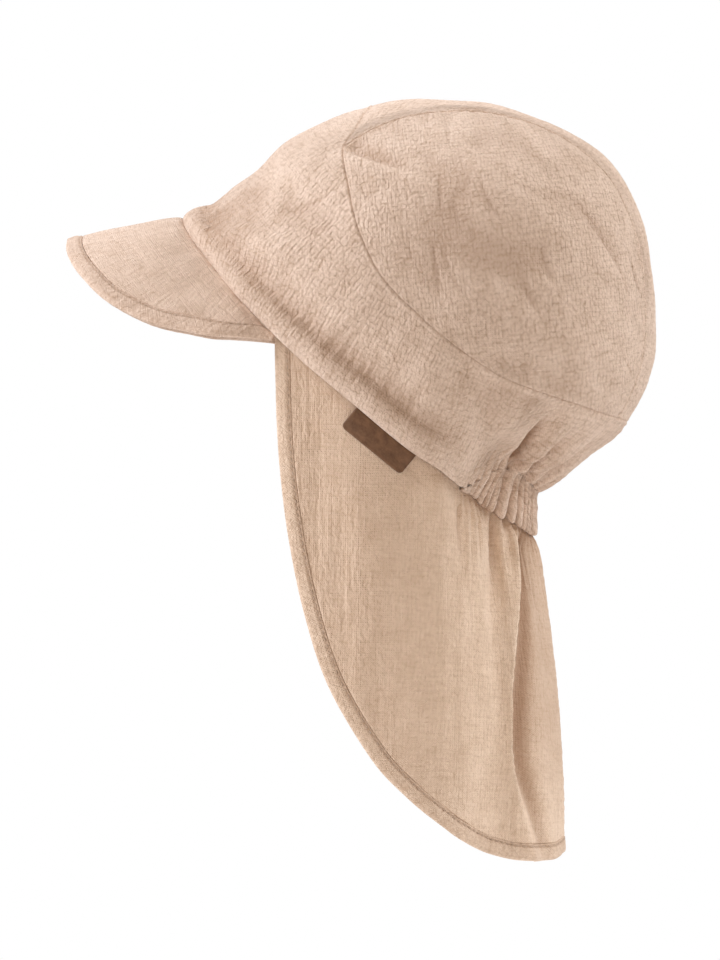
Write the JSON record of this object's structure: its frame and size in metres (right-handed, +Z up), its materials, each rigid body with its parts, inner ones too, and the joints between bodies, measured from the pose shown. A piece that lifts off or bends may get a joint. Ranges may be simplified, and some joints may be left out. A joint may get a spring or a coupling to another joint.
{
  "type": "legionnaire sun cap",
  "caption": "Child's legionnaire cap of crinkled cotton muslin: panelled crown, rolled rim, elastic gathers at the nape, bound peak, neck flap and small leather tab.",
  "frame": {"origin": "the top of the inside of the crown, where the cap sits on the wearer's head", "axes": "+Z up, -Y towards the peak, +X towards the wearer's left, the side of the leather tab"},
  "size_m": [0.156, 0.2417, 0.3114],
  "materials": {
    "crown_cloth": "crinkled cotton muslin, matt, pale beige",
    "peak_cloth": "crinkled cotton muslin over a stiffener, matt, pale beige",
    "flap_cloth": "light plain-woven cotton muslin, matt, beige",
    "binding_cloth": "bias-cut cotton binding, top-stitched, beige",
    "tab_leather": "smooth brown leather, bare"
  },
  "bodies": {
    "root": {"crown_band": "crown_cloth", "side_panel_left": "crown_cloth", "side_panel_right": "crown_cloth", "top_strip": "crown_cloth", "elastic_casing": "crown_cloth", "peak": "peak_cloth", "peak_binding": "binding_cloth", "neck_flap": "flap_cloth", "flap_binding": "binding_cloth", "label": "tab_leather"}
  },
  "joints": []
}
